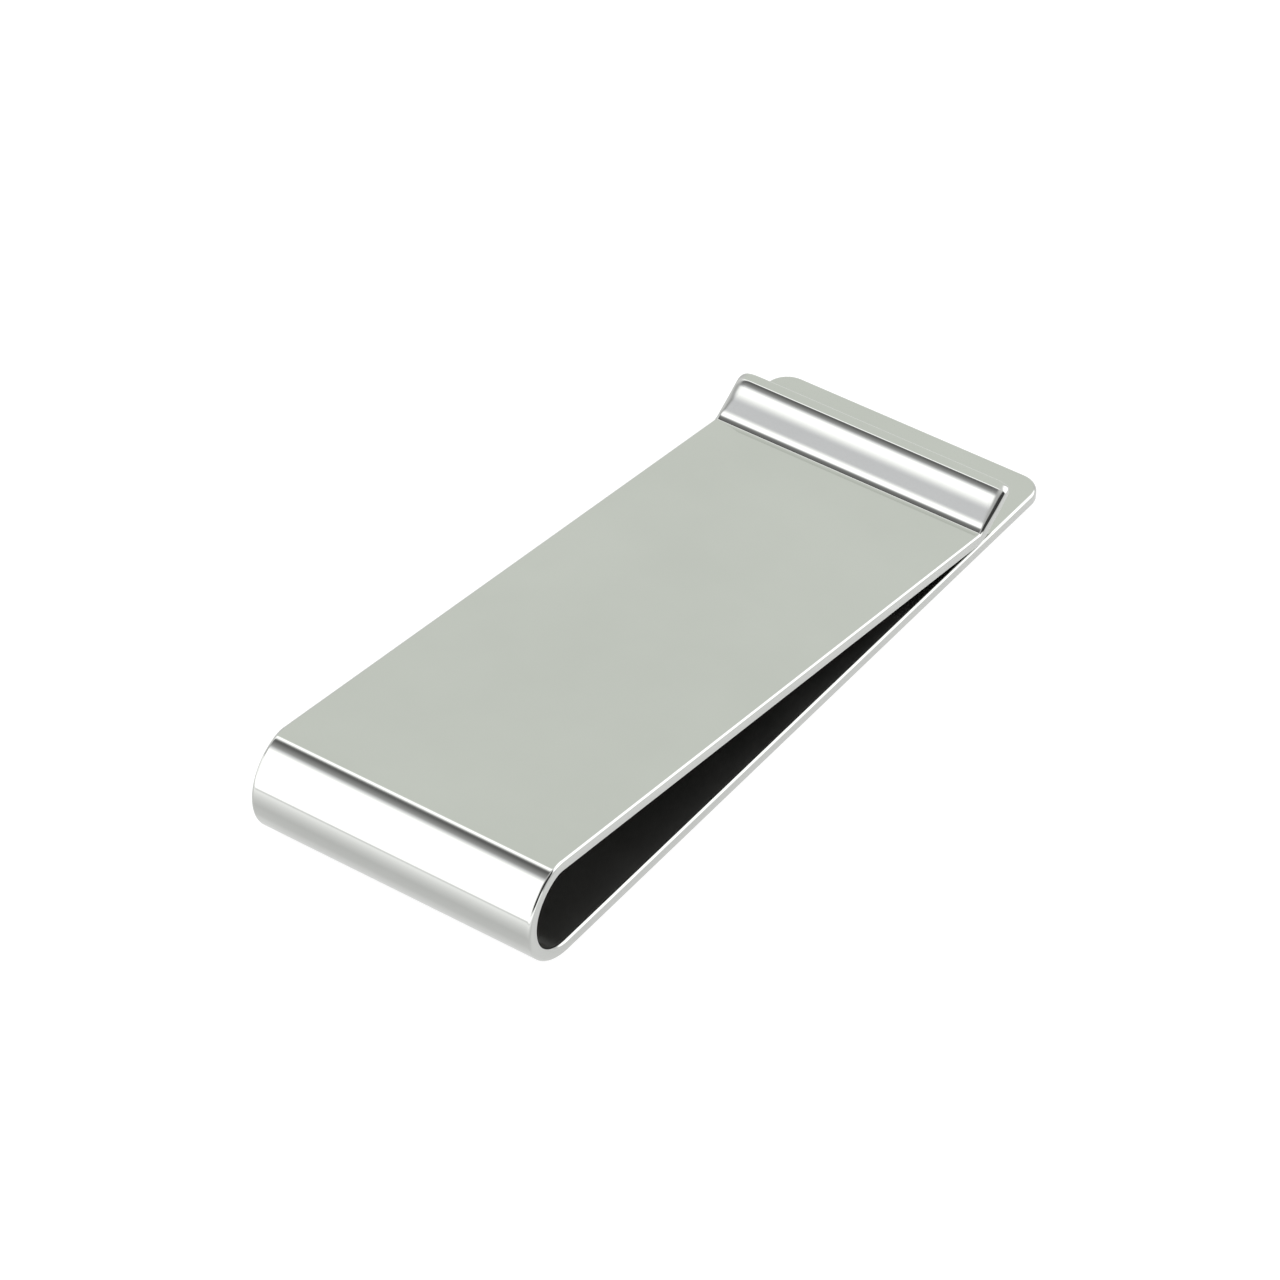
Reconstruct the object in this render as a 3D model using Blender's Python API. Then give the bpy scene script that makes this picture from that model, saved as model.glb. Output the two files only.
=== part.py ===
"""Money clip: one strip of polished sheet steel, bent into a flat spring.

The strip is divided at its forming lines into the sections that do different jobs:

    back_plate     the long flat section that rests on the table
    fold_lower     the lower quarter of the spring fold, from the plate to the fold's apex
    fold_upper     the upper quarter of the spring fold, from the apex to the leaf
    front_leaf     the long flat section that slopes down to the plate
    contact_heel   the sharp crease that presses on the plate, with the root of the lip
    thumb_lip      the upturned lip past the crease

Metres, +Z up. X runs along the clip, with the fold at -X and the lip at +X, and Y across its width.
The origin is on the table, under the middle of the clip's bounding box.
The fold flexes about its apex, so the sections above it hang from an empty on that axis.
"""

import math

import bmesh
import bpy
from mathutils import Matrix, Vector

# Driving dimensions.
LENGTH = 0.0679  # overall, along X
WIDTH = 0.025
SHEET = 0.001  # thickness of the strip
HEIGHT = 0.0089  # overall, at the fold
TOP_BEND = 0.0025  # outside radius of the tighter bend where the fold runs into the leaf
TOP_BEND_END = math.radians(110)  # direction the fold's outside faces where that bend starts, from +X up
HEEL_REACH = 0.0584  # from the fold's front to the line where the heel meets the plate
PLATE_CORNER = 0.002  # radius of the back plate's two free corners

# The lip.
LIP_SLOPE = math.radians(33)  # where it leaves the crease
TIP_SLOPE = math.radians(36)  # where its free edge starts to round over
DROP_SLOPE = math.radians(-15)  # where the rounding ends
LIP_LENGTH = 0.0032  # of the part before the rounding, along its slope
TIP_ROUNDING = 0.0016  # radius to which the free edge's upper side is polished
LIP_CORNER = 0.0007  # radius of the lip's two free corners, seen from above

# Fits and finish.
SEAM = 0.0003  # gap between two sections, and under the heel
HALF_SEAM = SEAM / 2
SOFT_EDGE = 0.00012  # polished-off width of the strip's long edges
CREASE_MARGIN = 0.0016  # length of leaf that belongs to the heel section
ARC_STEP = math.radians(5)
LIP_STEPS = 6
CORNER_STEPS = 8

FOLD_FRONT = -LENGTH / 2
PLATE_END = LENGTH / 2
HEEL = Vector((FOLD_FRONT + HEEL_REACH, SHEET + SEAM))


def along(angle):
    return Vector((math.cos(angle), math.sin(angle)))


def fold_radius():
    """Outside radius of the fold below its top bend, which brings the fold to HEIGHT."""
    turned = math.sin(TOP_BEND_END)
    return (HEIGHT - TOP_BEND * (1 - turned)) / (1 + turned)


FOLD_RADIUS = fold_radius()
FOLD_CENTRE = Vector((FOLD_FRONT + FOLD_RADIUS, FOLD_RADIUS))
TOP_CENTRE = FOLD_CENTRE + along(TOP_BEND_END) * (FOLD_RADIUS - TOP_BEND)


def leaf_slope():
    """Angle by which the leaf falls towards +X: its underside joins the top bend's inside to the heel."""
    across = HEEL - TOP_CENTRE
    return math.asin((TOP_BEND - SHEET) / across.length) - math.atan2(across.y, across.x)


SLOPE = leaf_slope()
LEAF_UP = Vector((math.sin(SLOPE), math.cos(SLOPE)))
LEAF_ALONG = Vector((math.cos(SLOPE), -math.sin(SLOPE)))
CREASE = HEEL + LEAF_UP * SHEET
FLEX_AXIS = Vector((FOLD_FRONT + SHEET / 2, 0, FOLD_CENTRE.y))


def fold_point(facing, depth):
    """The point of the fold, in the XZ plane, that is so deep under its outside where that faces so."""
    if facing > TOP_BEND_END:
        return FOLD_CENTRE + along(facing) * (FOLD_RADIUS - depth)
    return TOP_CENTRE + along(facing) * (TOP_BEND - depth)


def fold_section(name, start, end, material):
    """A section of the fold between two facing directions."""
    count = math.ceil(abs(end - start) / ARC_STEP)
    facings = [start + (end - start) * i / count for i in range(count + 1)]
    outside = [fold_point(facing, 0) for facing in facings]
    inside = [fold_point(facing, SHEET) for facing in facings]
    return bent_section(name, outside, inside, material)


def lip_lines():
    """The lip's upper and lower lines, from the crease to the free edge.

    The lip curls up a little as it goes. Its upper side is then polished round, and its underside runs on.
    """
    upper = [CREASE]
    lower = []
    for i in range(LIP_STEPS + 1):
        slope = LIP_SLOPE + (TIP_SLOPE - LIP_SLOPE) * i / LIP_STEPS
        if i:
            upper.append(upper[-1] + along(slope) * LIP_LENGTH / LIP_STEPS)
        lower.append(upper[-1] + along(slope - math.radians(90)) * SHEET)
    count = math.ceil((TIP_SLOPE - DROP_SLOPE) / ARC_STEP)
    turn = (TIP_SLOPE - DROP_SLOPE) / count
    for i in range(count):
        slope = TIP_SLOPE - turn * (i + 0.5)
        upper.append(upper[-1] + along(slope) * TIP_ROUNDING * turn)
    overhang = upper[-1].x - lower[-1].x - SOFT_EDGE
    lower.append(lower[-1] + Vector((overhang, overhang * math.tan(TIP_SLOPE))))
    return upper, lower


def soft_edges(bm, keep_sharp):
    """Bevels the edges that run round the two sides, but not the seam faces that keep_sharp picks out."""
    def on_side(edge):
        sides = {math.copysign(1, v.co.y) for v in edge.verts}
        return len(sides) == 1 and any(len(face.verts) > 4 for face in edge.link_faces)

    edges = [e for e in bm.edges if on_side(e) and not any(keep_sharp(f) for f in e.link_faces)]
    bmesh.ops.bevel(bm, geom=edges, offset=SOFT_EDGE, segments=1, affect="EDGES", clamp_overlap=True)


def link(name, bm, material):
    bmesh.ops.recalc_face_normals(bm, faces=bm.faces)
    mesh = bpy.data.meshes.new(name)
    bm.to_mesh(mesh)
    bm.free()
    mesh.shade_smooth()
    mesh.set_sharp_from_angle(angle=math.radians(30))
    mesh.materials.append(material)
    section = bpy.data.objects.new(name, mesh)
    bpy.context.scene.collection.objects.link(section)
    return section


def bent_section(name, upper, lower, material, free_end=False):
    """A section of the strip between two lines in the XZ plane, which run the same way from seam to seam."""
    outline = upper + lower[::-1]
    bm = bmesh.new()
    face = bm.faces.new([bm.verts.new((p.x, -WIDTH / 2, p.y)) for p in outline])
    swept = bmesh.ops.extrude_face_region(bm, geom=[face])
    moved = [v for v in swept["geom"] if isinstance(v, bmesh.types.BMVert)]
    bmesh.ops.translate(bm, verts=moved, vec=(0, WIDTH, 0))
    bmesh.ops.recalc_face_normals(bm, faces=bm.faces)

    seam_middles = [(upper[0] + lower[0]) / 2]
    if not free_end:
        seam_middles.append((upper[-1] + lower[-1]) / 2)

    def is_seam(face):
        middle = face.calc_center_median()
        return any((Vector((middle.x, middle.z)) - seam).length < SHEET * 0.05 for seam in seam_middles)

    if free_end:
        round_lip_corners(bm)
    soft_edges(bm, is_seam)
    return link(name, bm, material)


def round_lip_corners(bm):
    """Rounds the two corners of the free end, seen from above, by drawing its sides in."""
    centre = max(v.co.x for v in bm.verts) - LIP_CORNER
    for vert in bm.verts:
        past = min(max(vert.co.x - centre, 0), LIP_CORNER)
        drawn_in = LIP_CORNER - math.sqrt(LIP_CORNER**2 - past**2)
        vert.co.y -= math.copysign(drawn_in, vert.co.y)


def make_back_plate(material):
    """A flat rectangle with its two free corners rounded and its upper and lower edges softened."""
    start = FOLD_CENTRE.x + HALF_SEAM
    outline = [Vector((start, -WIDTH / 2)), Vector((PLATE_END, -WIDTH / 2))]
    outline += [Vector((PLATE_END, WIDTH / 2)), Vector((start, WIDTH / 2))]
    bm = bmesh.new()
    face = bm.faces.new([bm.verts.new((p.x, p.y, 0)) for p in outline])
    swept = bmesh.ops.extrude_face_region(bm, geom=[face])
    moved = [v for v in swept["geom"] if isinstance(v, bmesh.types.BMVert)]
    bmesh.ops.translate(bm, verts=moved, vec=(0, 0, SHEET))
    uprights = [
        e
        for e in bm.edges
        if all(v.co.x > start + SHEET for v in e.verts) and e.verts[0].co.y == e.verts[1].co.y
    ]
    bmesh.ops.bevel(
        bm, geom=uprights, offset=PLATE_CORNER, segments=CORNER_STEPS, profile=0.5, affect="EDGES"
    )
    rims = [
        e
        for e in bm.edges
        if e.verts[0].co.z == e.verts[1].co.z and any(v.co.x > start + SHEET for v in e.verts)
    ]
    bmesh.ops.bevel(bm, geom=rims, offset=SOFT_EDGE, segments=1, affect="EDGES", clamp_overlap=True)
    return link("back_plate", bm, material)


def make_fold_lower(material):
    half_gap = HALF_SEAM / (FOLD_RADIUS - SHEET / 2)
    return fold_section("fold_lower", math.radians(270) - half_gap, math.pi + half_gap, material)


def make_fold_upper(material):
    start = math.pi - HALF_SEAM / (FOLD_RADIUS - SHEET / 2)
    end = math.radians(90) - SLOPE + HALF_SEAM / (TOP_BEND - SHEET / 2)
    return fold_section("fold_upper", start, end, material)


def make_front_leaf(material):
    root = TOP_CENTRE + LEAF_UP * TOP_BEND + LEAF_ALONG * HALF_SEAM
    end = CREASE - LEAF_ALONG * (CREASE_MARGIN + HALF_SEAM)
    upper = [root, end]
    lower = [p - LEAF_UP * SHEET for p in upper]
    return bent_section("front_leaf", upper, lower, material)


def make_contact_heel(material):
    """The end of the leaf, the crease and the lip's root. Its lowest line is the heel."""
    lip_upper, lip_lower = lip_lines()
    start = CREASE - LEAF_ALONG * (CREASE_MARGIN - HALF_SEAM)
    upper = [start, CREASE, lip_upper[1]]
    lower = [start - LEAF_UP * SHEET, HEEL, lip_lower[0], lip_lower[1]]
    return bent_section("contact_heel", upper, lower, material)


def make_thumb_lip(material):
    lip_upper, lip_lower = lip_lines()
    step = LIP_LENGTH / LIP_STEPS
    upper = [lip_upper[1].lerp(lip_upper[2], SEAM / step)] + lip_upper[2:]
    lower = [lip_lower[1].lerp(lip_lower[2], SEAM / step)] + lip_lower[2:]
    return bent_section("thumb_lip", upper, lower, material, free_end=True)


def polished_steel():
    material = bpy.data.materials.new("polished_steel")
    material.use_nodes = True
    shader = material.node_tree.nodes["Principled BSDF"]
    shader.inputs["Base Color"].default_value = (0.62, 0.63, 0.61, 1)
    shader.inputs["Metallic"].default_value = 1
    shader.inputs["Roughness"].default_value = 0.06
    return material


def flex_axis_empty():
    """The fold's apex line, which the sections above it turn about as the clip opens."""
    axis = bpy.data.objects.new("fold_flex_axis", None)
    axis.location = FLEX_AXIS
    axis.empty_display_size = SHEET
    bpy.context.scene.collection.objects.link(axis)
    return axis


def hang(section, axis):
    """Parents a section to the axis, with its own origin on it, and leaves its shape where it is."""
    section.data.transform(Matrix.Translation(-axis.location))
    section.parent = axis


def main():
    for old in list(bpy.data.objects):
        bpy.data.objects.remove(old, do_unlink=True)
    steel = polished_steel()
    make_back_plate(steel)
    make_fold_lower(steel)
    axis = flex_axis_empty()
    for make in (make_fold_upper, make_front_leaf, make_contact_heel, make_thumb_lip):
        hang(make(steel), axis)


main()
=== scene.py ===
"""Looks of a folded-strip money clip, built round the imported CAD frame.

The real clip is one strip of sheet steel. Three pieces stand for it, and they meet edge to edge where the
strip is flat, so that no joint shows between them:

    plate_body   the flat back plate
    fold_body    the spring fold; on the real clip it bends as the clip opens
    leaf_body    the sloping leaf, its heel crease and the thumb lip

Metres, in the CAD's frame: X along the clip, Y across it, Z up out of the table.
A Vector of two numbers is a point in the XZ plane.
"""

import math

import bmesh
import bpy
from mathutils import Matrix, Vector


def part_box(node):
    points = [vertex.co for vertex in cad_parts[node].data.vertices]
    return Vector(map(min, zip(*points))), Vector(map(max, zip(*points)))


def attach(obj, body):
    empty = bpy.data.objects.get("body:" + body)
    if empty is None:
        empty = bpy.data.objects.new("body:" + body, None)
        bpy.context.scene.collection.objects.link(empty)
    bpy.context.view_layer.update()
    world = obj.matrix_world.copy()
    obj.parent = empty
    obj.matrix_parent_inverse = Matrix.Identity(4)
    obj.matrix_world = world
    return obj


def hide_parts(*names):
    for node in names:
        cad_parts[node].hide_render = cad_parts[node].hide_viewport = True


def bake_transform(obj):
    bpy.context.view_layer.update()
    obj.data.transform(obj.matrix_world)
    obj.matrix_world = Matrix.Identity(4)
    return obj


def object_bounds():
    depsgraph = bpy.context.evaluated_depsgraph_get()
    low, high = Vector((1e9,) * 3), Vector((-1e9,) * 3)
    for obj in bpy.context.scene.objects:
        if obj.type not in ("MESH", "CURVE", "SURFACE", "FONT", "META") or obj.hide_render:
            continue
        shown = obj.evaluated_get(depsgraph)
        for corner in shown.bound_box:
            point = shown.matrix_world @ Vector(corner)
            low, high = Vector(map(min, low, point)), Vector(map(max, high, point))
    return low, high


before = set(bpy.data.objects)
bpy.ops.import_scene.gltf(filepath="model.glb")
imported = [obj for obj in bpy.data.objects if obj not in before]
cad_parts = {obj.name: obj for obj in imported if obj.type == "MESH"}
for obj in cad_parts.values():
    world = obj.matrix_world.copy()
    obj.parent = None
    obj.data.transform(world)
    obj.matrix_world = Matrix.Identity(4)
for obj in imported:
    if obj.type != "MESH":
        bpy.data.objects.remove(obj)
CAD_LOW, CAD_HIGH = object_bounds()

# Sizes that the frame gives.
PLATE_LOW, PLATE_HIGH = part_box("back_plate")
SHEET = PLATE_HIGH.z - PLATE_LOW.z
HALF_WIDTH = (PLATE_HIGH.y - PLATE_LOW.y) / 2
HEIGHT = CAD_HIGH.z - CAD_LOW.z
HEEL_X = min(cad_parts["contact_heel"].data.vertices, key=lambda vert: vert.co.z).co.x

# The outside of the spring fold is round, with a tighter bend where it runs into the leaf.
TOP_BEND = 0.0025
TOP_BEND_END = math.radians(110)  # direction the fold faces where that bend starts, from +X up

# The strip's surface.
EDGE_RADIUS = 0.0003  # of the polished long edges
EDGE_STEPS = 8
THIN_EDGE_RADIUS = 0.45  # the edge radius where the sheet thins out, as a share of its thickness there
SUPPORT = 0.00008  # a flat's outermost stretch, which keeps its shading flat
THIN_SUPPORT = 0.4  # the most of a thin side face that its outermost stretch takes up
SHARP_ANGLE = math.radians(40)
TINY = 1e-9
FOLD_STEP = math.radians(2)
LEAD = 0.001  # flat length at each end of the fold's piece
LEAF_STEPS = 12
HEEL_CLEARANCE = 0.00003  # between the heel and the plate
PLATE_CORNER = 0.002
CORNER_STEPS = 16

# The thumb lip: (distance from the crease along its upper side, slope there in degrees).
LIP_SLOPES = (
    (0.00005, 26),
    (0.0003, 28),
    (0.0006, 37.5),
    (0.0011, 33.2),
    (0.0019, 33.2),
    (0.0029, 36.5),
    (0.0032, 36.5),
)
# The same for its free edge, which is polished round.
TIP_SLOPES = ((0.0032, 36.5), (0.0039, 25), (0.00395, 18), (0.0044, 8), (0.00465, -10), (0.00485, -45))
NOSE_RADIUS = 0.0002
LIP_STEP = 0.00005
HEEL_BEND = 0.0006  # length of upper side over which the underside turns round the heel
CURL_START, CURL_LENGTH = 0.0019, 0.001  # where the underside then curls up with the upper side
LIP_CORNER = 0.0006  # radius of the lip's free corners, seen from above
LIP_DUBBING = 0.0013  # how far in from its ends the buffing wheel has rounded the lip, at the free edge

HEEL = Vector((HEEL_X, PLATE_HIGH.z + HEEL_CLEARANCE))


def along(slope):
    return Vector((math.cos(slope), math.sin(slope)))


def off(slope):
    """The direction square to a slope, upwards."""
    return Vector((-math.sin(slope), math.cos(slope)))


def fold_radius():
    """Outside radius of the fold below its top bend, which brings the fold to HEIGHT."""
    turned = math.sin(TOP_BEND_END)
    return (HEIGHT - TOP_BEND * (1 - turned)) / (1 + turned)


FOLD_RADIUS = fold_radius()
FOLD_CENTRE = Vector((CAD_LOW.x + FOLD_RADIUS, PLATE_LOW.z + FOLD_RADIUS))
TOP_CENTRE = FOLD_CENTRE + along(TOP_BEND_END) * (FOLD_RADIUS - TOP_BEND)


def leaf_slope():
    """Slope of the leaf, whose underside joins the inside of the fold's top bend to the heel."""
    across = HEEL - TOP_CENTRE
    return math.atan2(across.y, across.x) - math.asin((TOP_BEND - SHEET) / across.length)


SLOPE = leaf_slope()
LEAF_START = TOP_CENTRE + off(SLOPE) * TOP_BEND  # on the upper side, where the fold ends
CREASE = HEEL + off(SLOPE) * SHEET


def smooth(t):
    t = min(max(t, 0), 1)
    return t * t * (3 - 2 * t)


def mixed(a, b, share):
    return a + (b - a) * share


# The strip's sections


def section(half_width, thickness, dubbing=EDGE_RADIUS):
    """The cross-section as (across, height, wear) points, clockwise from the upper flat.

    dubbing is how far in from the sides the upper edges are rounded.
    """
    radius = min(EDGE_RADIUS, thickness * THIN_EDGE_RADIUS)
    dubbing = max(dubbing, radius)
    support = min(SUPPORT, (thickness - 2 * radius) * THIN_SUPPORT)
    corners = (
        (half_width - dubbing, thickness - radius, 90, dubbing),
        (half_width - radius, radius, 0, radius),
        (radius - half_width, radius, -90, radius),
        (dubbing - half_width, thickness - radius, -180, dubbing),
    )
    points = []
    for across, height, first, reach in corners:
        angles = [math.radians(first - 90 * i / EDGE_STEPS) for i in range(EDGE_STEPS + 1)]
        arc = [(across + reach * math.cos(a), height + radius * math.sin(a), 1.0) for a in angles]
        (x0, z0, _), (x1, z1, _) = arc[0], arc[-1]
        a0, a1 = angles[0], angles[-1]
        points.append((x0 - support * math.sin(a0), z0 + support * math.cos(a0), 0.0))
        points += arc
        points.append((x1 + support * math.sin(a1), z1 - support * math.cos(a1), 0.0))
    return points


def loft(stations):
    """A closed mesh through sections of the strip.

    A station is (upper point, lower point, half width), and a dubbing where the upper edges have one.
    """
    bm = bmesh.new()
    wear = bm.verts.layers.float.new("wear")
    inside = bm.verts.layers.float.new("inside")
    rings = []
    for upper, lower, half_width, *dubbing in stations:
        up = upper - lower
        ring = []
        for across, height, worn in section(half_width, up.length, *dubbing):
            at = lower + up.normalized() * height
            vert = bm.verts.new((at.x, across, at.y))
            vert[wear] = worn
            # inside marks the sheet's underside, which looks into the gap and gets painted shade in the
            # material.
            vert[inside] = 0.0 if height > TINY else 1.0
            ring.append(vert)
        rings.append(ring)
    for ring, following in zip(rings, rings[1:]):
        for i in range(len(ring)):
            bm.faces.new((ring[i - 1], ring[i], following[i], following[i - 1]))
    bm.faces.new(rings[0])
    bm.faces.new(rings[-1])
    return bm


def piece(name, bm, material):
    bmesh.ops.recalc_face_normals(bm, faces=bm.faces)
    mesh = bpy.data.meshes.new(name)
    bm.to_mesh(mesh)
    bm.free()
    mesh.shade_smooth()
    mesh.set_sharp_from_angle(angle=SHARP_ANGLE)
    mesh.materials.append(material)
    made = bpy.data.objects.new(name, mesh)
    bpy.context.scene.collection.objects.link(made)
    return made


# The back plate


def plate_outline(inset):
    """The plate's outline seen from above, from the seam's right end round the free end to its left end."""
    seam = FOLD_CENTRE.x + LEAD
    centre_x = PLATE_HIGH.x - PLATE_CORNER
    radius = PLATE_CORNER - inset
    points = [(seam, -HALF_WIDTH + inset)]
    for side, first in ((-1, -90), (1, 0)):
        centre_y = side * (HALF_WIDTH - PLATE_CORNER)
        angles = [math.radians(first + 90 * i / CORNER_STEPS) for i in range(CORNER_STEPS + 1)]
        arc = [(centre_x + radius * math.cos(a), centre_y + radius * math.sin(a)) for a in angles]
        a0, a1 = angles[0], angles[-1]
        points.append((arc[0][0] + SUPPORT * math.sin(a0), arc[0][1] - SUPPORT * math.cos(a0)))
        points += arc
        points.append((arc[-1][0] - SUPPORT * math.sin(a1), arc[-1][1] + SUPPORT * math.cos(a1)))
    points.append((seam, HALF_WIDTH - inset))
    return points


def make_plate(material):
    """The plate, as outlines stacked round its rounded rim."""
    bm = bmesh.new()
    wear = bm.verts.layers.float.new("wear")
    rim = [(HALF_WIDTH - across, height, worn) for across, height, worn in section(HALF_WIDTH, SHEET)
           if across > 0]
    rings = []
    for inset, height, worn in reversed(rim):
        ring = [bm.verts.new((x, y, PLATE_LOW.z + height)) for x, y in plate_outline(inset)]
        for vert in ring:
            vert[wear] = worn
        rings.append(ring)
    for ring, following in zip(rings, rings[1:]):
        for i in range(1, len(ring)):
            bm.faces.new((ring[i - 1], ring[i], following[i], following[i - 1]))
    bm.faces.new(rings[0])
    bm.faces.new(rings[-1])
    bm.faces.new([ring[0] for ring in rings] + [ring[-1] for ring in reversed(rings)])
    made = piece("plate_body", bm, material)
    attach(made, "back")
    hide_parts("back_plate")
    return made


# The spring fold


def fold_line(facing):
    """The fold's (outer point, inner point, half width) where its outside faces so."""
    out = along(facing)
    centre, radius = (FOLD_CENTRE, FOLD_RADIUS) if facing > TOP_BEND_END else (TOP_CENTRE, TOP_BEND)
    return centre + out * radius, centre + out * (radius - SHEET), HALF_WIDTH


def make_fold(material):
    """The fold, from the flat below it, round its outside, to the flat above."""
    def lead_in(distance):
        low = Vector((FOLD_CENTRE.x + distance, PLATE_LOW.z))
        return low, low + Vector((0, SHEET)), HALF_WIDTH

    def lead_out(distance):
        outer = LEAF_START + along(SLOPE) * distance
        return outer, outer - off(SLOPE) * SHEET, HALF_WIDTH

    start, end = math.radians(270), math.radians(90) + SLOPE
    steps = math.ceil((start - end) / FOLD_STEP)
    stations = [lead_in(LEAD), lead_in(SUPPORT)]
    stations += [fold_line(mixed(start, end, i / steps)) for i in range(steps + 1)]
    stations += [lead_out(SUPPORT), lead_out(LEAD)]
    made = piece("fold_body", loft(stations), material)
    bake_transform(made)
    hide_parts("fold_lower", "fold_upper")
    return made


# The leaf and its lip


def slope_at(distance, knots, ease):
    for (s0, slope0), (s1, slope1) in zip(knots, knots[1:]):
        if distance <= s1:
            return math.radians(mixed(slope0, slope1, ease((distance - s0) / (s1 - s0))))
    return math.radians(knots[-1][1])


def lip_slope(distance):
    """Slope of the lip's upper side, in radians, at a distance from the crease."""
    if distance > TIP_SLOPES[0][0]:
        return slope_at(distance, TIP_SLOPES, lambda share: share)
    return slope_at(distance, ((0, math.degrees(SLOPE)),) + LIP_SLOPES, smooth)


def underside_slope(distance):
    """Slope of the sheet's underside below that point: one smooth bend, without the crease's small step."""
    middle = slope_at(CURL_START, LIP_SLOPES, smooth)
    bend = mixed(SLOPE, middle, smooth(distance / HEEL_BEND))
    curl = math.radians(LIP_SLOPES[-1][1]) - middle
    return bend + curl * smooth((distance - CURL_START) / CURL_LENGTH)


def lip_stations():
    """The crease, the lip and its rounded free edge, as (upper, lower) points."""
    upper = CREASE.copy()
    stations = []
    tip = []
    count = round(TIP_SLOPES[-1][0] / LIP_STEP)
    for i in range(1, count + 1):
        distance = i * LIP_STEP
        upper = upper + along(lip_slope(distance - LIP_STEP / 2)) * LIP_STEP
        if distance < TIP_SLOPES[0][0]:
            stations.append((upper, upper - off(underside_slope(distance)) * SHEET))
        else:
            tip.append(upper)

    # The upper side of the free edge is polished round. Its underside runs on straight, as far as the nose.
    flange, drop = math.radians(TIP_SLOPES[0][1]), math.radians(TIP_SLOPES[-1][1])
    nose = []
    for i in range(1, EDGE_STEPS + 2):
        share = i / (EDGE_STEPS + 1)
        over = off(mixed(drop, math.radians(-90), share)) - off(drop)
        under = off(flange) - off(mixed(flange, math.radians(90), share))
        nose.append((over * NOSE_RADIUS, under * NOSE_RADIUS))
    root = stations[-1][1]
    over, under = nose[-1]
    length = (tip[-1].x + over.x - under.x - root.x) / math.cos(flange)
    stations += [(point, root + along(flange) * length * i / len(tip)) for i, point in enumerate(tip, 1)]
    tip_upper, tip_lower = stations[-1]
    return stations + [(tip_upper + over, tip_lower + under) for over, under in nose]


def make_leaf(material):
    def leaf(distance):
        upper = LEAF_START + along(SLOPE) * distance
        return upper, upper - off(SLOPE) * SHEET

    length = (CREASE - LEAF_START).length
    lines = [leaf(mixed(LEAD, length, i / LEAF_STEPS)) for i in range(LEAF_STEPS)]
    lines += [leaf(length - SUPPORT), leaf(length)] + lip_stations()
    tip_x = max(upper.x for upper, _ in lines)
    stations = []
    for upper, lower in lines:
        past = min(max(max(upper.x, lower.x) - (tip_x - LIP_CORNER), 0), LIP_CORNER)
        drawn_in = LIP_CORNER - math.sqrt(LIP_CORNER**2 - past**2)
        up_the_lip = max((upper.x - CREASE.x) / (tip_x - CREASE.x), 0)
        dubbing = mixed(EDGE_RADIUS, LIP_DUBBING, up_the_lip)
        stations.append((upper, lower, HALF_WIDTH - drawn_in, dubbing))
    made = piece("leaf_body", loft(stations), material)
    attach(made, "leaf")
    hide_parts("front_leaf", "contact_heel", "thumb_lip")
    return made


# Materials and the studio


def add_node(tree, kind, inputs=(), **settings):
    """A new node. inputs are (socket, constant or output socket) pairs."""
    made = tree.nodes.new(kind)
    for name, value in settings.items():
        setattr(made, name, value)
    for socket, value in inputs:
        if isinstance(value, bpy.types.NodeSocket):
            tree.links.new(value, made.inputs[socket])
        else:
            made.inputs[socket].default_value = value
    return made


def calculate(tree, operation, *values):
    return add_node(tree, "ShaderNodeMath", enumerate(values), operation=operation).outputs[0]


def eased(tree, value, low, high):
    """0 below low and 1 above high, eased in between. It runs the other way if low is the larger."""
    inputs = (("Value", value), ("From Min", low), ("From Max", high))
    return add_node(tree, "ShaderNodeMapRange", inputs, interpolation_type="SMOOTHSTEP").outputs[0]


def ramp(tree, value, stops):
    """A colour ramp through (position, colour) stops."""
    made = add_node(tree, "ShaderNodeValToRGB", [("Fac", value)])
    elements = made.color_ramp.elements
    while len(elements) < len(stops):
        elements.new(0.5)
    for element, (position, colour) in zip(elements, stops):
        element.position = position
        element.color = (*colour, 1)
    return made.outputs["Color"]


def blend_colours(tree, share, one, other):
    inputs = (("Factor", share), ("A", one), ("B", other))
    made = tree.nodes.new("ShaderNodeMix")
    made.data_type = "RGBA"
    for name, value in inputs:
        socket = next(s for s in made.inputs if s.name == name and s.type in ("RGBA", "VALUE") and s.enabled)
        if isinstance(value, bpy.types.NodeSocket):
            tree.links.new(value, socket)
        else:
            socket.default_value = value
    return next(s for s in made.outputs if s.enabled)


ON_PLATE = 0.00005  # how near the height of the plate's upper face counts as on it
GAP_SHADE_AND_ROUGHNESS_FADE = 0.015  # length over which the plate's upper face, darkened with painted shade and made rougher, turns bright again towards the heel


def inner_faces(tree, place):
    """1 on the faces that look into the gap, which get painted shade and a rougher finish, and 0 elsewhere.
    """
    x, y, z = add_node(tree, "ShaderNodeSeparateXYZ", [(0, place)]).outputs
    flagged = add_node(tree, "ShaderNodeAttribute", attribute_name="inside").outputs["Fac"]
    on_plate = calculate(tree, "COMPARE", z, PLATE_HIGH.z, ON_PLATE)
    within = calculate(tree, "LESS_THAN", calculate(tree, "ABSOLUTE", y), HALF_WIDTH - EDGE_RADIUS)
    behind_heel = eased(tree, x, HEEL_X, HEEL_X - GAP_SHADE_AND_ROUGHNESS_FADE)
    under_leaf = calculate(tree, "MULTIPLY", on_plate, calculate(tree, "MULTIPLY", within, behind_heel))
    return calculate(tree, "MAXIMUM", flagged, under_leaf)


STEEL = ((0.3, (0.61, 0.62, 0.60)), (0.7, (0.635, 0.645, 0.625)))
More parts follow.
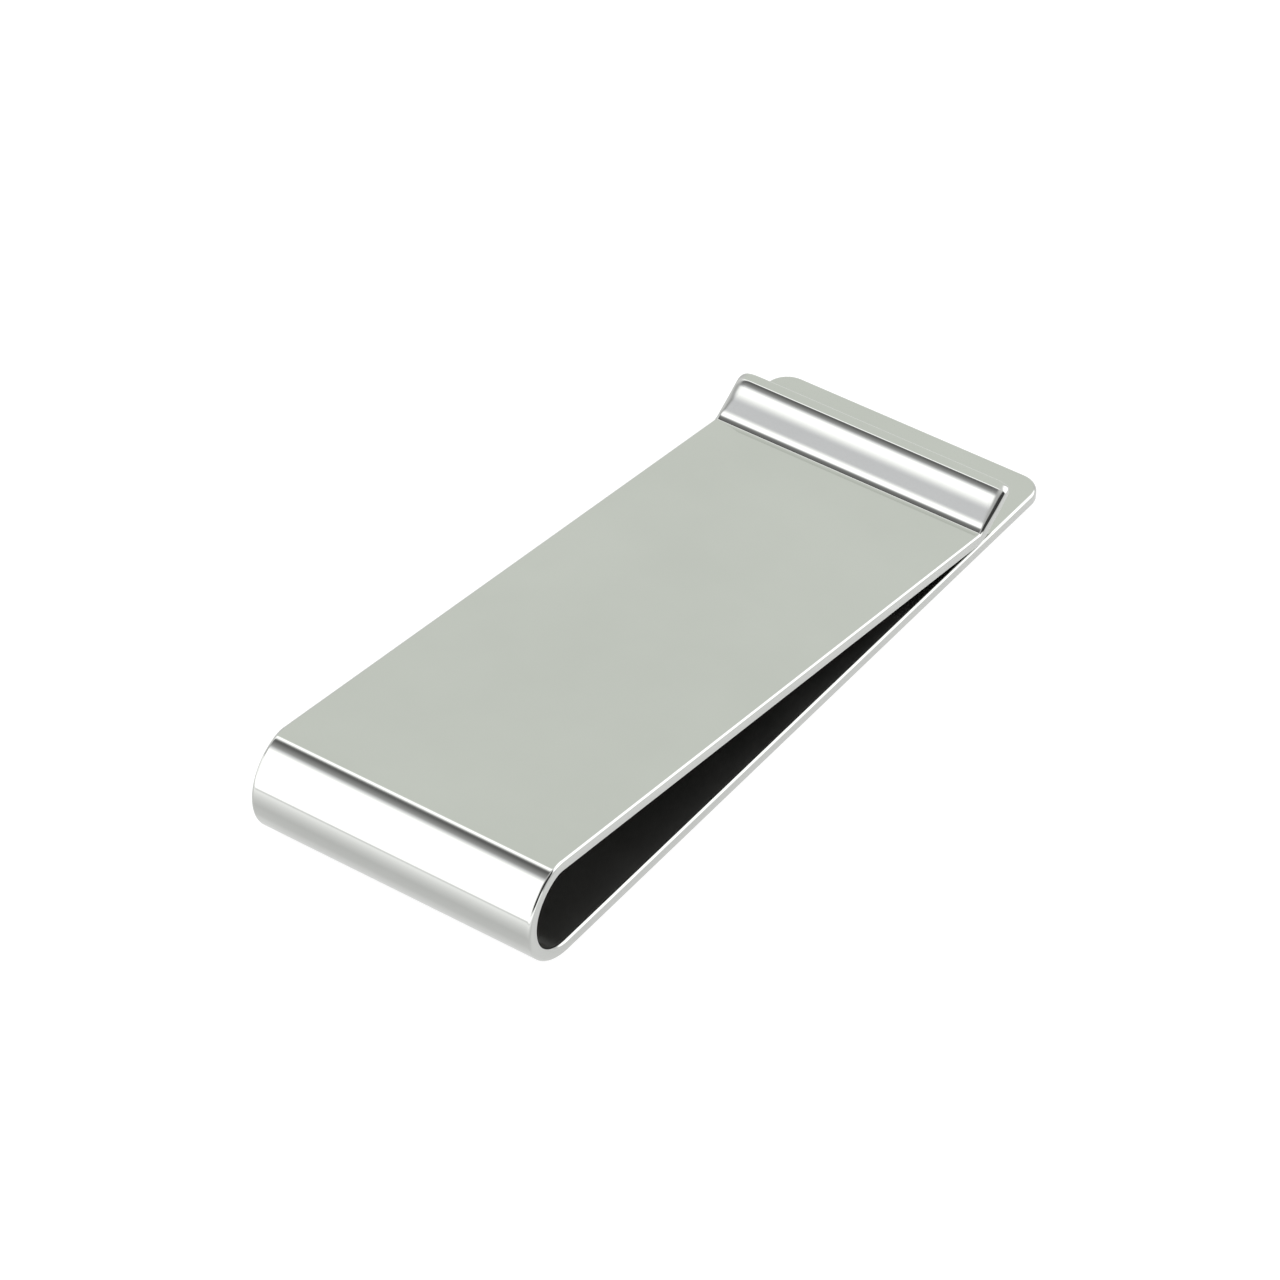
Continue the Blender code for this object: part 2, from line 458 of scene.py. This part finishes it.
# Painted shade: the darker steel colour given to the faces inside the gap between leaf, fold and plate.
PAINTED_GAP_SHADE = (0.4, 0.4, 0.39, 1)
HAIRLINE_SCALE = (60, 5200, 5200)  # lengthways, across and through the sheet

# Roughness of the clean mirror finish, and what each blemish adds to it.
MIRROR = 0.03
SMEAR = 0.035
HAIRLINE = 0.02
WORN_EDGE = 0.05
UNPOLISHED = 0.26


def polished_steel():
    """Mirror-polished steel, with faint hairlines, wiped smears, slightly duller worn edges, and painted
    shade darkening the faces inside the gap.
    """
    material = bpy.data.materials.new("polished_steel_fine")
    material.use_nodes = True
    tree = material.node_tree
    shader = tree.nodes["Principled BSDF"]
    shader.inputs["Metallic"].default_value = 1
    place = add_node(tree, "ShaderNodeTexCoord").outputs["Object"]

    smears = add_node(
        tree, "ShaderNodeTexNoise", (("Vector", place), ("Scale", 90), ("Detail", 3), ("Roughness", 0.55))
    ).outputs["Fac"]
    drawn_out = add_node(tree, "ShaderNodeMapping", (("Vector", place), ("Scale", HAIRLINE_SCALE)))
    hairlines = add_node(
        tree, "ShaderNodeTexNoise", (("Vector", drawn_out.outputs[0]), ("Scale", 1), ("Detail", 2))
    ).outputs["Fac"]
    worn = add_node(tree, "ShaderNodeAttribute", attribute_name="wear").outputs["Fac"]
    inner = inner_faces(tree, place)

    # The faces inside the gap get the painted shade colour in place of the steel's own.
    steel = blend_colours(tree, inner, ramp(tree, smears, STEEL), PAINTED_GAP_SHADE)
    tree.links.new(steel, shader.inputs["Base Color"])
    dull = calculate(tree, "MULTIPLY", eased(tree, smears, 0.42, 0.72), SMEAR)
    dull = calculate(tree, "MULTIPLY_ADD", hairlines, HAIRLINE, dull)
    dull = calculate(tree, "MULTIPLY_ADD", worn, WORN_EDGE, dull)
    dull = calculate(tree, "MULTIPLY_ADD", inner, UNPOLISHED, dull)
    tree.links.new(calculate(tree, "ADD", dull, MIRROR), shader.inputs["Roughness"])
    bump = add_node(
        tree, "ShaderNodeBump", (("Height", hairlines), ("Strength", 0.02), ("Distance", 0.00002))
    )
    tree.links.new(bump.outputs["Normal"], shader.inputs["Normal"])
    return material


def grey(value):
    return value, value, value


# Radiance of the studio round the clip's cross axis: (degrees from +X over the top to -X, colour).
CARD = (0.84, 0.87, 0.815)
BANDS = (
    (-180, grey(1.75)),
    (-120, grey(1.0)),
    (-60, grey(1.0)),
    (-10, CARD),
    (82.5, CARD),
    (85, grey(1.8)),
    (89.5, grey(1.8)),
    (93.5, grey(0.20)),
    (97, grey(0.165)),
    (101, grey(0.28)),
    (105, grey(0.40)),
    (107.5, grey(0.52)),
    (110.2, (0.88, 0.88, 0.92)),
    (112.7, grey(1.25)),
    (116, grey(1.75)),
    (180, grey(1.75)),
)
# The same beyond the sideways reach of BANDS, where the room is plainer.
PLAIN_BANDS = (
    (-180, grey(1.3)),
    (-10, grey(0.8)),
    (40, grey(0.75)),
    (85, grey(0.95)),
    (105, grey(0.62)),
    (122, grey(0.62)),
    (138, grey(1.4)),
    (180, grey(1.3)),
)

# The sideways reach of BANDS: the direction's Y at its soft ends' (outer limit, inner limit).
BANDS_NEAR, BANDS_FAR = (0.05, 0.25), (0.78, 0.58)

# The softbox front right: its direction, and the cosines at its soft rim's outer and inner limit.
SOFTBOX_AIM = Vector((0.55, -0.45, 0.70)).normalized()
SOFTBOX_RIM = (0.80, 0.90)
SOFTBOX = (1.9, 1.9, 1.9, 1)

# The dark flag on the near side, as (outer limit, inner limit) of the direction's Y, X and Z.
FLAG_FAR, FLAG_NEAR = (-0.10, -0.22), (-0.90, -0.80)
FLAG_RIGHT, FLAG_BOTTOM = (0.12, -0.02), (0.05, 0.2)
FLAG = (0.06, 0.06, 0.06, 1)

BACKDROP = (1.05, 1.05, 1.05, 1)  # as the camera sees it


def by_angle(tree, turn, bands):
    return ramp(tree, turn, [((degrees + 180) / 360, colour) for degrees, colour in bands])


def light_studio():
    """A white studio: a grey card ahead, dark flags overhead and near, softboxes left and front right."""
    world = bpy.data.worlds.new("studio")
    bpy.context.scene.world = world
    world.use_nodes = True
    tree = world.node_tree
    direction = add_node(tree, "ShaderNodeTexCoord").outputs["Generated"]
    x, y, z = add_node(tree, "ShaderNodeSeparateXYZ", [(0, direction)]).outputs
    turn = calculate(tree, "MULTIPLY_ADD", calculate(tree, "ARCTAN2", z, x), 1 / math.tau, 0.5)
    window = calculate(tree, "MULTIPLY", eased(tree, y, *BANDS_NEAR), eased(tree, y, *BANDS_FAR))
    surround = blend_colours(tree, window, by_angle(tree, turn, PLAIN_BANDS), by_angle(tree, turn, BANDS))
    facing = add_node(
        tree, "ShaderNodeVectorMath", ((0, direction), (1, SOFTBOX_AIM)), operation="DOT_PRODUCT"
    ).outputs["Value"]
    surround = blend_colours(tree, eased(tree, facing, *SOFTBOX_RIM), surround, SOFTBOX)
    near_side = calculate(tree, "MULTIPLY", eased(tree, y, *FLAG_FAR), eased(tree, y, *FLAG_NEAR))
    left_and_up = calculate(tree, "MULTIPLY", eased(tree, x, *FLAG_RIGHT), eased(tree, z, *FLAG_BOTTOM))
    flag = calculate(tree, "MULTIPLY", near_side, left_and_up)
    surround = blend_colours(tree, flag, surround, FLAG)
    seen = add_node(tree, "ShaderNodeLightPath").outputs["Is Camera Ray"]
    surround = blend_colours(tree, seen, surround, BACKDROP)
    tree.links.new(surround, tree.nodes["Background"].inputs["Color"])


# Painted light on the table, seen only in reflections: painted shade near the fold, then the left softbox's
# pool of light, as (share of POOL_SPAN out from the fold, glow).
POOL_SPAN = 0.03
POOL = (
    (0.0, grey(0.66)),
    (0.03, grey(0.56)),
    (0.12, grey(0.48)),
    (0.3, grey(0.72)),
    (0.5, grey(0.95)),
    (0.6, grey(0.95)),
    (0.7, grey(0.56)),
    (0.78, grey(1.0)),
    (0.9, grey(1.45)),
)
TABLE_GLOW = (0.85, 0.85, 0.85, 1)  # as the camera sees it
TABLE_SIZE = 6.0
TABLE_GAP = 0.00002  # below the plate


def make_floor():
    """A plain pale table that glows a little, evenly where the camera sees it, so that shadows stay faint.
    In reflections its glow is painted light: the left softbox's pool of light, with painted shade near the
    fold.
    """
    mesh = bpy.data.meshes.new("floor")
    half = TABLE_SIZE / 2
    corners = [(-half, -half, 0), (half, -half, 0), (half, half, 0), (-half, half, 0)]
    mesh.from_pydata(corners, [], [(0, 1, 2, 3)])
    floor = bpy.data.objects.new("floor", mesh)
    bpy.context.scene.collection.objects.link(floor)
    floor.location.z = CAD_LOW.z - TABLE_GAP
    material = bpy.data.materials.new("pale_table")
    material.use_nodes = True
    tree = material.node_tree
    shader = tree.nodes["Principled BSDF"]
    shader.inputs["Base Color"].default_value = (0.3, 0.3, 0.3, 1)
    shader.inputs["Roughness"].default_value = 0.9
    shader.inputs["Specular IOR Level"].default_value = 0
    shader.inputs["Emission Strength"].default_value = 1
    place = add_node(tree, "ShaderNodeTexCoord").outputs["Object"]
    x = add_node(tree, "ShaderNodeSeparateXYZ", [(0, place)]).outputs[0]
    before = calculate(tree, "MULTIPLY", calculate(tree, "SUBTRACT", CAD_LOW.x, x), 1 / POOL_SPAN)
    seen = add_node(tree, "ShaderNodeLightPath").outputs["Is Camera Ray"]
    # Reflections see the painted pool of light and painted shade; the camera sees an even glow.
    glow = blend_colours(tree, seen, ramp(tree, before, POOL), TABLE_GLOW)
    tree.links.new(glow, shader.inputs["Emission Color"])
    mesh.materials.append(material)


CAMERA_AZIMUTH, CAMERA_ELEVATION = math.radians(-54.607), math.radians(40.461)
CAMERA_TARGET = Vector((CAD_LOW.x + 0.003824, 0, CAD_LOW.z))  # under the fold
CAMERA_BACK, CAMERA_RIGHT, CAMERA_UP = 0.42319, 0.01569, 0.01776  # from there, along the view's own axes
CAMERA_LENS, CAMERA_SENSOR = 165.18, 36  # millimetres


def make_camera():
    """A long lens, looking down across the fold's right end."""
    right = Vector((math.cos(CAMERA_AZIMUTH), math.sin(CAMERA_AZIMUTH), 0))
    level_back = Vector((right.y, -right.x, 0))
    back = level_back * math.cos(CAMERA_ELEVATION) + Vector((0, 0, math.sin(CAMERA_ELEVATION)))
    up = back.cross(right)
    data = bpy.data.cameras.new("camera")
    data.sensor_width = CAMERA_SENSOR
    data.lens = CAMERA_LENS
    data.clip_start, data.clip_end = 0.01, 10
    camera = bpy.data.objects.new("camera", data)
    bpy.context.scene.collection.objects.link(camera)
    camera.location = CAMERA_TARGET + back * CAMERA_BACK + right * CAMERA_RIGHT + up * CAMERA_UP
    camera.rotation_mode = "QUATERNION"
    camera.rotation_quaternion = back.to_track_quat("Z", "Y")
    bpy.context.scene.camera = camera


steel = polished_steel()
make_plate(steel)
make_fold(steel)
make_leaf(steel)
light_studio()
make_floor()
make_camera()
bpy.context.scene.view_settings.view_transform = "Standard"
